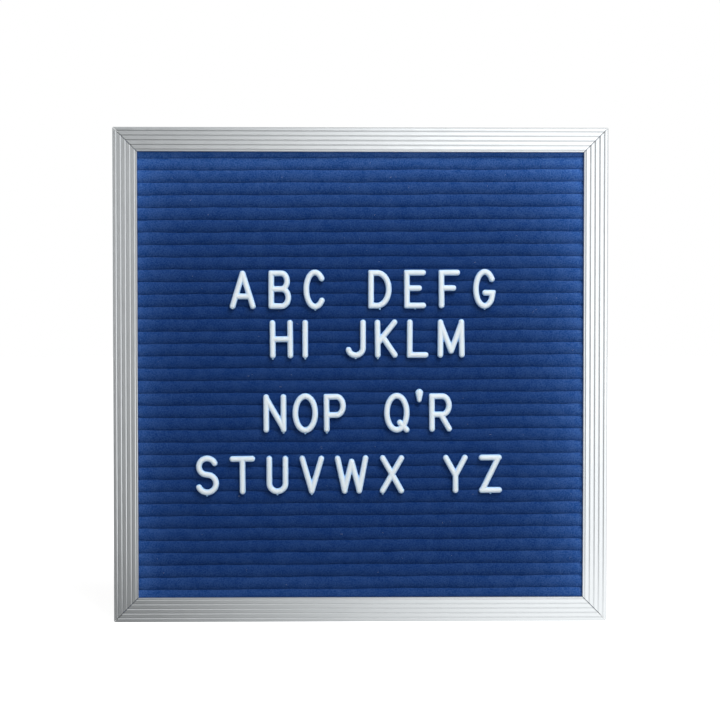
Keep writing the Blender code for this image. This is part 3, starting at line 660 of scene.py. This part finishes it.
def lint_fibre(points, faces, centre, heading, length, bend, lift):
    """Adds a curled thread, as a thin tube that lies on the felt and rises in its middle."""
    base = len(points)
    for k in range(LINT_STEPS + 1):
        share = k / LINT_STEPS - 0.5
        turn = heading + bend * share
        x = centre[0] + length * share * math.cos(turn)
        z = centre[1] + length * share * math.sin(turn)
        y = at_depth(FELT_CREST) - LINT_RADIUS - lift * math.cos(math.pi * share)
        for side in range(LINT_SIDES):
            angle = 2 * math.pi * side / LINT_SIDES
            around = (LINT_RADIUS * math.cos(angle), LINT_RADIUS * math.sin(angle))
            points.append((x, y + around[0], z + around[1]))
    for k in range(LINT_STEPS):
        here = base + LINT_SIDES * k
        there = here + LINT_SIDES
        for side in range(LINT_SIDES):
            after = (side + 1) % LINT_SIDES
            faces.append((here + side, there + side, there + after, here + after))
    faces.append(tuple(range(base, base + LINT_SIDES)))
    faces.append(tuple(range(len(points) - 1, len(points) - 1 - LINT_SIDES, -1)))


def make_lint(finish):
    """A few pale threads caught on the felt."""
    draw = random.Random(11)
    points, faces = [], []
    for _ in range(LINT_THREADS):
        rib = draw.randrange(2, RIBS - 2)
        centre = (
            draw.uniform(-LINT_SPREAD, LINT_SPREAD),
            rib_centre(rib) + draw.uniform(-1, 1) * MM,
        )
        lint_fibre(
            points, faces, centre, draw.uniform(0, math.pi), draw.uniform(*LINT_LENGTHS),
            draw.uniform(-LINT_BEND, LINT_BEND), draw.uniform(0, LINT_LIFT),
        )
    lint = piece_from("lint_threads", points, faces, panel_place(), finish)
    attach(lint, "root")
    return lint


# Strokes of a letter, in the letter's own plane: x to the right, z up, its foot at z = 0


def arc(x, z, reach_x, reach_z, start, end):
    """Points along an ellipse, from start to end in degrees, counted from +x towards +z."""
    steps = max(2, math.ceil(abs(math.radians(end - start)) / ARC_STEP))
    points = []
    for k in range(steps + 1):
        angle = math.radians(start + (end - start) * k / steps)
        points.append((x + reach_x * math.cos(angle), z + reach_z * math.sin(angle)))
    return points


def between(start, end, share):
    return tuple(a + (b - a) * share for a, b in zip(start, end))


def tucked(start, end):
    """A straight stroke whose end stops a little short, inside the stroke that it runs into."""
    return [start, between(start, end, 1 - TUCK / math.dist(start, end))]


def corner_stations(here, normals, mitre):
    """The stations round a sharp corner: its outer side is rounded, its inner side filleted."""
    (ax, az), (bx, bz) = normals
    turns_left = ax * bz - az * bx > 0
    stations = []
    for k in range(CORNER_STEPS + 1):
        turned = Vector((ax, az)).lerp(Vector((bx, bz)), k / CORNER_STEPS).normalized()
        outer = Vector(mitre).lerp(turned, CORNER_ROUND)
        inner = Vector(mitre).lerp(turned, -CORNER_FILLET)
        stations.append((here, inner, outer) if turns_left else (here, outer, inner))
    return stations


def stroke_stations(path, closed):
    """Each point of a path with its sideways offsets for a half width of 1: the one to its left
    side, and the opposite of the one to its right side."""
    stations = []
    last = len(path) - 1
    for k, here in enumerate(path):
        before = path[k - 1] if closed or k else None
        after = path[(k + 1) % len(path)] if closed or k < last else None
        normals = []
        for a, b in ((before, here), (here, after)):
            if a and b:
                length = math.dist(a, b)
                normals.append(((a[1] - b[1]) / length, (b[0] - a[0]) / length))
        nx = sum(n[0] for n in normals)
        nz = sum(n[1] for n in normals)
        stretch = len(normals) / (nx * nx + nz * nz)
        mitre = (nx * stretch, nz * stretch)
        if len(normals) == 2 and math.hypot(*mitre) > CORNER_REACH:
            stations += corner_stations(here, normals, mitre)
        else:
            stations.append((here, mitre, mitre))
    return stations


def dome():
    """The section of a stroke as (share of the half width, height), from the back to the top."""
    section = [(1.0, 0.0), (1.0, LETTER_SIDE)]
    for k in range(1, DOME_STEPS + 1):
        share = 1 - (1 - TOP_SHARE) * (1 - math.cos(math.pi / 2 * k / DOME_STEPS))
        rise = (1 - share**DOME_POWER) ** (1 / DOME_POWER)
        section.append((share, LETTER_SIDE + (LETTER_THICKNESS - LETTER_SIDE) * rise))
    section.append((TOP_SHARE / 2, LETTER_THICKNESS))
    return [(share * SWEEP_SHARE, height) for share, height in section]


def end_fan(centre, offset, radius):
    """Points round a stroke's end, from its left side to its right side, without those two."""
    start = math.atan2(offset[1], offset[0])
    points = []
    for k in range(1, END_STEPS):
        angle = start - math.pi * k / END_STEPS
        points.append((centre[0] + radius * math.cos(angle), centre[1] + radius * math.sin(angle)))
    return points


def open_stroke(path, half_widths=None):
    """The rings of a round-topped stroke with round ends along an open path."""
    stations = stroke_stations(path, closed=False)
    half_widths = half_widths or [HALF_STROKE] * len(stations)
    start, end = stations[0][1], stations[-1][1]
    rings = []
    for share, height in dome():
        left, right = [], []
        for ((x, z), (lx, lz), (rx, rz)), half in zip(stations, half_widths):
            left.append((x + lx * half * share, z + lz * half * share))
            right.append((x - rx * half * share, z - rz * half * share))
        far = end_fan(path[-1], end, half_widths[-1] * share)
        near = end_fan(path[0], (-start[0], -start[1]), half_widths[0] * share)
        rings.append([(x, -height, z) for x, z in left + far + right[::-1] + near])
    return rings, False


def closed_stroke(path):
    """The rings of a round-topped stroke along a path that closes on itself."""
    section = [(share * HALF_STROKE, height) for share, height in dome()]
    rings = []
    for (x, z), (lx, lz), (rx, rz) in stroke_stations(path, closed=True):
        right = [(x - rx * out, -height, z - rz * out) for out, height in section]
        left = [(x + lx * out, -height, z + lz * out) for out, height in section[::-1]]
        rings.append(right + left)
    return rings, True


def letter_cell(width):
    foot = HALF_STROKE
    head = CAP_HEIGHT - HALF_STROKE
    right = width / 2 - HALF_STROKE
    return SimpleNamespace(
        left=-right,
        right=right,
        foot=foot,
        head=head,
        middle=(foot + head) / 2,
        rise=head - foot,
        round_rise=(head - foot) / 2 + OVERSHOOT,
    )


# Shapes of the letters. Each function takes the letter's cell and returns its open paths and its
# closed paths. The plain numbers are shares of the cell, and degrees along the rounds.


def letter_a(c):
    bar = c.foot + 0.3 * c.rise
    reach = 0.7 * c.right - TUCK
    legs = [[(c.left, c.foot), (0, c.head)], tucked((c.right, c.foot), (0, c.head))]
    return [*legs, [(-reach, bar), (reach, bar)]], []


def bowl(x, low, high, reach):
    """The right-hand round of a B, P or R, from its top to its bottom."""
    return arc(x, (low + high) / 2, reach - x, (high - low) / 2, 90, -90)


def stem_and_bowl(c, waist, reach):
    """A stem with a square corner at its head, and the bowl that hangs on it down to the waist."""
    start = 0.2 * c.right
    stem = [(c.left, c.foot), (c.left, c.head), (start, c.head)]
    turn = bowl(start, waist, c.head, reach)
    return [stem, [(start - TUCK, c.head), *turn, (c.left + TUCK, waist)]]


def letter_b(c):
    waist = c.middle + 0.02 * c.rise
    lower = bowl(0.25 * c.right, c.foot, waist, c.right)
    upper = stem_and_bowl(c, waist, 0.86 * c.right)
    return [*upper, [*lower, (c.left + TUCK, c.foot)]], []


def letter_c(c):
    return [arc(0, c.middle, c.right, c.round_rise, 40, 320)], []


def letter_d(c):
    turn = bowl(c.left * 0.3, c.foot, c.head, c.right)
    return [], [[(c.left, c.foot), (c.left, c.head), *turn]]


def letter_e(c):
    bar = c.middle + 0.03 * c.rise
    spine = [(c.right, c.head), (c.left, c.head), (c.left, c.foot), (c.right, c.foot)]
    return [spine, [(c.left + TUCK, bar), (c.right * 0.5, bar)]], []


def letter_f(c):
    bar = c.middle + 0.03 * c.rise
    spine = [(c.right, c.head), (c.left, c.head), (c.left, c.foot)]
    return [spine, [(c.left + TUCK, bar), (c.right * 0.5, bar)]], []


def letter_g(c):
    bar = c.middle - 0.12 * c.rise
    turn = arc(0, c.middle, c.right, c.round_rise, 35, 322)
    return [[*turn, (c.right * 0.92, bar), (c.right * 0.05, bar)]], []


def letter_h(c):
    legs = [[(x, c.foot), (x, c.head)] for x in (c.left, c.right)]
    return [*legs, [(c.left + TUCK, c.middle), (c.right - TUCK, c.middle)]], []


def letter_i(c):
    return [[(0, c.foot), (0, c.head)]], []


def letter_j(c):
    turn = arc(0, c.foot + c.right, c.right, c.right, 0, -165)
    return [[(c.right, c.head), *turn]], []


def letter_k(c):
    joint = (c.left, c.foot + 0.36 * c.rise)
    arm = tucked((c.right, c.head), joint)
    leg = tucked((c.right, c.foot), between(joint, (c.right, c.head), 0.3))
    return [[(c.left, c.foot), (c.left, c.head)], arm, leg], []


def letter_l(c):
    return [[(c.left, c.head), (c.left, c.foot), (c.right, c.foot)]], []


def letter_m(c):
    valley = (0, c.foot + 0.12 * c.rise)
    legs = [[(x, c.foot), (x * 0.97, c.head)] for x in (c.left, c.right)]
    first = [(c.left * 0.97, c.head - TUCK), valley]
    return [*legs, first, tucked((c.right * 0.97, c.head - TUCK), valley)], []


def letter_n(c):
    legs = [[(x, c.foot), (x, c.head)] for x in (c.left, c.right)]
    return [*legs, [(c.left, c.head - TUCK), (c.right, c.foot + TUCK)]], []


def ring_path(c):
    """The oval of an O or a Q, without the last point, which is the first again."""
    return arc(0, c.middle, c.right, c.round_rise, 0, 360)[:-1]


def letter_o(c):
    return [], [ring_path(c)]


def letter_p(c):
    return stem_and_bowl(c, c.foot + 0.44 * c.rise, c.right), []


def letter_q(c):
    tail = [(c.right * 0.3, c.foot + 0.2 * c.rise), (c.right, c.foot - OVERSHOOT)]
    return [tail], [ring_path(c)]


def letter_r(c):
    waist = c.foot + 0.44 * c.rise
    leg = tucked((c.right, c.foot), (0.05 * c.right, waist))
    return [*stem_and_bowl(c, waist, c.right), leg], []


def letter_s(c):
    waist = c.middle + 0.02 * c.rise
    top = c.head + OVERSHOOT
    base = c.foot - OVERSHOOT
    upper = arc(0, (waist + top) / 2, c.right * 0.92, (top - waist) / 2, 25, 250)
    lower = arc(0, (waist + base) / 2, c.right, (waist - base) / 2, 70, -155)
    return [[*upper, *lower]], []


def letter_t(c):
    return [[(c.left, c.head), (c.right, c.head)], [(0, c.foot), (0, c.head - TUCK)]], []


def letter_u(c):
    turn = arc(0, c.foot + c.right, c.right, c.right, 180, 360)
    return [[(c.left, c.head), *turn, (c.right, c.head)]], []


def letter_v(c):
    return [[(c.left, c.head), (0, c.foot)], tucked((c.right, c.head), (0, c.foot))], []


def letter_w(c):
    peak = (0, c.head - 0.1 * c.rise)
    valleys = (c.left * 0.52, c.right * 0.52)
    strokes = []
    for edge, valley in zip((c.left, c.right), valleys):
        strokes.append([(edge, c.head), (valley, c.foot)])
        strokes.append([(valley, c.foot + TUCK), peak])
    return strokes, []


def letter_x(c):
    return [[(c.left, c.foot), (c.right, c.head)], [(c.left, c.head), (c.right, c.foot)]], []


def letter_y(c):
    fork = (0, c.foot + 0.46 * c.rise)
    arms = [[(c.left, c.head), fork], tucked((c.right, c.head), fork)]
    return [*arms, tucked((0, c.foot), fork)], []


def letter_z(c):
    rails = [[(c.left, z), (c.right, z)] for z in (c.head, c.foot)]
    return [*rails, [(c.left + TUCK, c.foot + TUCK), (c.right - TUCK, c.head - TUCK)]], []


LETTER_SHAPES = {
    "a": letter_a, "b": letter_b, "c": letter_c, "d": letter_d, "e": letter_e, "f": letter_f,
    "g": letter_g, "h": letter_h, "i": letter_i, "j": letter_j, "k": letter_k, "l": letter_l,
    "m": letter_m, "n": letter_n, "o": letter_o, "p": letter_p, "q": letter_q, "r": letter_r,
    "s": letter_s, "t": letter_t, "u": letter_u, "v": letter_v, "w": letter_w, "x": letter_x,
    "y": letter_y, "z": letter_z,
}

# Where the moulding gate broke off, as a share of the way from the middle to the right stroke
GATE_NUBS = {
    "c": 0, "d": 0, "e": 0, "g": 0, "h": -1, "i": 0, "j": 0, "k": -1, "n": 1, "o": 0, "p": -1,
    "s": 0, "u": 0, "v": 0, "x": -1, "z": 0,
}


# Whole letters


def apostrophe_stroke():
    """A short tapered stroke that stands above the other letters: its path and half widths."""
    top = CAP_HEIGHT + APOSTROPHE_RISE - APOSTROPHE_HEAD
    low = CAP_HEIGHT + APOSTROPHE_RISE - APOSTROPHE_HEIGHT + APOSTROPHE_FOOT
    return [(0, top), (0, low)], [APOSTROPHE_HEAD, APOSTROPHE_FOOT]


def path_points(path):
    """Points close together along a path."""
    points = [path[0]]
    for a, b in zip(path, path[1:]):
        steps = max(1, math.ceil(math.dist(a, b) / PATH_STEP))
        points += [between(a, b, k / steps) for k in range(1, steps + 1)]
    return points


def tab_spots(paths, row):
    """Where tabs stand at this height: behind the outermost strokes that cross it."""
    within = HALF_STROKE / 2 - TAB_THICKNESS / 2
    crossing = [x for path in paths for x, z in path_points(path) if abs(z - row) <= within]
    if not crossing:
        return []
    first, last = min(crossing), max(crossing)
    if last - first < 2 * TAB_WIDTH:
        return [min(crossing, key=lambda x: abs(x - (first + last) / 2))]
    return [first, last]


def tab_rings(x, row):
    """A thin tab from inside the letter's back down into the groove, thinner at its tip."""
    rings = []
    for y, share in TAB_SECTIONS:
        half_width = TAB_WIDTH / 2 * (1 - (1 - share) / 3)
        half = TAB_THICKNESS / 2 * share
        corners = ((-1, -1), (1, -1), (1, 1), (-1, 1))
        rings.append([(x + side * half_width, y, row + end * half) for side, end in corners])
    return rings, False


def gate_nub(x, foot):
    """The torn stub of the moulding gate under a letter's foot."""
    rings = []
    for drop, share in GATE_NUB_SECTIONS:
        radius = GATE_NUB_RADIUS * share
        ring = []
        for k in range(GATE_NUB_SIDES):
            angle = 2 * math.pi * k / GATE_NUB_SIDES
            y = radius * math.sin(angle) - GATE_NUB_RADIUS - GATE_NUB_LIFT
            ring.append((x + radius * math.cos(angle), y, foot - drop))
        rings.append(ring)
    return rings, False


def letter_strokes(letter):
    """The rings of a letter's strokes, and those of its tabs and gate nub."""
    if letter == "'":
        # No groove lies behind the apostrophe's middle line, so it has no tab here or in its solid
        return [open_stroke(*apostrophe_stroke())], []
    cell = letter_cell(LETTER_WIDTHS[letter] * MM)
    opened, closed = LETTER_SHAPES[letter](cell)
    bodies = [open_stroke(path) for path in opened] + [closed_stroke(path) for path in closed]
    paths = opened + [[*path, path[0]] for path in closed]
    rows = [FOOT_BELOW_GROOVE + row * RIB_PITCH for row in TAB_ROWS]
    crisp = [tab_rings(x, row) for row in rows for x in tab_spots(paths, row)]
    if letter in GATE_NUBS:
        foot = min(z for path in paths for _, z in path) - HALF_STROKE
        crisp.append(gate_nub(GATE_NUBS[letter] * cell.right, foot))
    return bodies, crisp


def skin(bodies):
    """Points and faces of several closed bodies, each from its rings."""
    points, faces = [], []
    for rings, closed in bodies:
        base = len(points)
        size = len(rings[0])
        points += [point for ring in rings for point in ring]
        steps = len(rings) if closed else len(rings) - 1
        for step in range(steps):
            here = base + step * size
            there = base + (step + 1) % len(rings) * size
            for k in range(size):
                after = (k + 1) % size
                faces.append((here + k, here + after, there + after, there + k))
        if not closed:
            faces.append(tuple(range(base + size - 1, base - 1, -1)))
            last = base + (len(rings) - 1) * size
            faces.append(tuple(range(last, last + size)))
    return points, faces


def moulded(name, bodies):
    """One soft-edged mesh from strokes that run into each other."""
    points, faces = skin(bodies)
    mesh = bpy.data.meshes.new(name)
    mesh.from_pydata(points, [], faces)
    helper = bpy.data.objects.new("helper", mesh)
    bpy.context.scene.collection.objects.link(helper)
    remesh = helper.modifiers.new("one skin", "REMESH")
    remesh.mode = "VOXEL"
    remesh.voxel_size = LETTER_GRAIN
    smooth = helper.modifiers.new("soft", "SMOOTH")
    smooth.factor = 0.5
    smooth.iterations = LETTER_SMOOTHING
    fewer = helper.modifiers.new("fewer", "DECIMATE")
    fewer.ratio = LETTER_KEEP
    bpy.context.view_layer.update()
    graph = bpy.context.evaluated_depsgraph_get()
    result = bpy.data.meshes.new_from_object(helper.evaluated_get(graph))
    bpy.data.objects.remove(helper, do_unlink=True)
    bpy.data.meshes.remove(mesh)
    return result


def groove_height(number):
    """The local height of a groove, counted from 1 at the top of the panel."""
    return (RIBS / 2 - number) * RIB_PITCH


def letter_places():
    """Every letter with its place along the line and the height of its foot, on the panel."""
    places = []
    for letters, groove, start, letter_gap, word_gap in LINES:
        foot = groove_height(groove) - FOOT_BELOW_GROOVE
        x = start
        for word in letters.split():
            for letter in word:
                width = LETTER_WIDTHS[letter] * MM
                places.append((letter, x + width / 2, foot))
                x += width + letter_gap
            x += word_gap - letter_gap
    return places


def make_letter(number, letter, x, foot, finish):
    """The letter in place of its solid: soft strokes, with crisp tabs and gate nub added."""
    word = "apostrophe" if letter == "'" else letter
    bodies, crisp = letter_strokes(letter)
    mesh = moulded(f"moulded_{word}", bodies)
    points = [tuple(v.co) for v in mesh.vertices]
    faces = [tuple(p.vertices) for p in mesh.polygons]
    bpy.data.meshes.remove(mesh)
    crisp_points, crisp_faces = skin(crisp)
    faces += [tuple(k + len(points) for k in face) for face in crisp_faces]
    points += crisp_points
    tilt = Matrix.Rotation(LETTER_TILT * math.sin(TILT_STEP * number), 4, "Y")
    place = panel_place() @ Matrix.Translation((x, at_depth(LETTER_BACK), foot)) @ tilt
    piece = piece_from(f"moulded_{word}", points, faces, place, finish)
    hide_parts(f"letter_{word}")
    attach(piece, "root")


# Studio


def make_floor():
    """A pale floor that looks white and keeps the board's shadow. In the frame's gloss it is
    darker on the left, as the rest of the studio is."""
    corners = ((-1, -1), (1, -1), (1, 1), (-1, 1))
    points = [(x * FLOOR_HALF, y * FLOOR_HALF, 0) for x, y in corners]
    made, tree, shader = plain_finish("studio_floor", (0.5, 0.5, 0.5), 0.9, Specular_IOR_Level=0.0)
    place = object_place(tree)
    away = node(tree, "ShaderNodeVectorMath", {0: place}, operation="LENGTH").outputs["Value"]
    smooth = {"interpolation_type": "SMOOTHSTEP"}
    seen = ranged(tree, away, FLOOR_LIFT_SPAN, (FLOOR_LIFT, 1.0), **smooth)
    parts = split(tree, place)
    ahead = maths(tree, "ABSOLUTE", parts["Y"])
    half_strip = maths(tree, "MULTIPLY_ADD", ahead, STRIP_SPREAD, STRIP_HALF)
    across = maths(tree, "DIVIDE", parts["X"], half_strip)
    strip = ranged(tree, across, STRIP_SPAN, STRIP_LEVELS, **smooth)
    behind = ranged(tree, parts["Y"], FLOOR_BEHIND_SPAN)
    mirrored = blend(tree, behind, strip, FLOOR_BEHIND)
    rays = node(tree, "ShaderNodeLightPath").outputs
    lifted = maths(tree, "MULTIPLY", rays["Is Camera Ray"], seen)
    lift, gloss = (
        node(tree, "ShaderNodeEmission", {"Color": WHITE, "Strength": level}).outputs[0]
        for level in (lifted, mirrored)
    )
    plain = node(tree, "ShaderNodeAddShader", {0: shader.outputs[0], 1: lift}).outputs[0]
    links = {0: rays["Is Glossy Ray"], 1: plain, 2: gloss}
    surface = node(tree, "ShaderNodeMixShader", links).outputs[0]
    tree.links.new(surface, tree.nodes["Material Output"].inputs["Surface"])
    level = Matrix.Identity(4)
    floor = piece_from("studio_floor", points, [(0, 1, 2, 3)], level, made, smooth=False)


def sides_ramp(tree, across):
    """The level of the studio's sides, from left to right."""
    ramp = node(tree, "ShaderNodeValToRGB", {"Fac": ranged(tree, across, (-1, 1))})
    ramp.color_ramp.interpolation = "EASE"
    stops = ramp.color_ramp.elements
    for stop, (_, level) in zip(stops, (STUDIO_SIDES[0], STUDIO_SIDES[-1])):
        stop.color = (level, level, level, 1)
    for heading, level in STUDIO_SIDES[1:-1]:
        stops.new((heading + 1) / 2).color = (level, level, level, 1)
    return ramp.outputs[0]


def make_world():
    """White behind the board, a soft light from everywhere, and a dimmer left side."""
    world = bpy.data.worlds.new("studio")
    bpy.context.scene.world = world
    world.use_nodes = True
    tree = world.node_tree
    parts = split(tree, node(tree, "ShaderNodeTexCoord").outputs["Generated"])
    ceiling = ranged(tree, parts["Z"], CEILING_SPAN, (1.0, CEILING_LIFT))
    side = maths(tree, "MULTIPLY", sides_ramp(tree, parts["X"]), ceiling)
    mirrored = blend(tree, ranged(tree, parts["Y"], BACK_SPAN), side, 1.0)
    rays = node(tree, "ShaderNodeLightPath").outputs
    lit = blend(tree, rays["Is Glossy Ray"], ROOM_LIGHT, mirrored)
    seen = maths(tree, "ADD", rays["Is Camera Ray"], rays["Is Transmission Ray"])
    back = tree.nodes["Background"]
    back.inputs["Color"].default_value = WHITE
    tree.links.new(blend(tree, seen, lit, 1.0), back.inputs["Strength"])


def lamp(name, place, width, height, power):
    """A soft box that faces the middle of the board."""
    light = bpy.data.lights.new(name, "AREA")
    light.shape = "RECTANGLE"
    light.size = width
    light.size_y = height
    light.energy = power
    thing = bpy.data.objects.new(name, light)
    thing.location = place
    aim = Vector((0, 0, BOARD / 2)) - Vector(place)
    thing.rotation_euler = aim.to_track_quat("-Z", "Y").to_euler()
    bpy.context.scene.collection.objects.link(thing)
    return thing


def make_lamps():
    """A tall box in front on the right, and a square one high above the board, which models the
    ribs and stays out of the frame's gloss."""
    lamp("tall_soft_box", (0.42, -1.55, 0.35), width=0.9, height=1.6, power=6.7)
    high = lamp("high_soft_box", (0.42, -0.66, 1.22), width=0.6, height=0.6, power=14.6)
    high.visible_glossy = False


def make_camera():
    data = bpy.data.cameras.new("camera")
    data.sensor_width = CAMERA_SENSOR
    data.lens = CAMERA_LENS
    thing = bpy.data.objects.new("camera", data)
    thing.location = CAMERA_PLACE
    thing.rotation_euler = (CAMERA_AIM - CAMERA_PLACE).to_track_quat("-Z", "Y").to_euler()
    bpy.context.scene.collection.objects.link(thing)
    bpy.context.scene.camera = thing


def main():
    finishes = all_finishes()
    dress_fixed_pieces(finishes)
    # painted light on the felt near the rails
    paint_light_on_felt_at_rails(finishes["felt"])
    # painted shade on the letters next to the felt
    paint_shade_on_letters_near_felt(finishes["plastic"])
    felt, width, length = make_felt(finishes["felt"])
    lint = make_lint(finishes["lint"])
    for number, (letter, x, foot) in enumerate(letter_places()):
        make_letter(number, letter, x, foot, finishes["plastic"])
    make_floor()
    make_world()
    make_lamps()
    make_camera()
    bpy.context.scene.view_settings.view_transform = "Standard"


main()
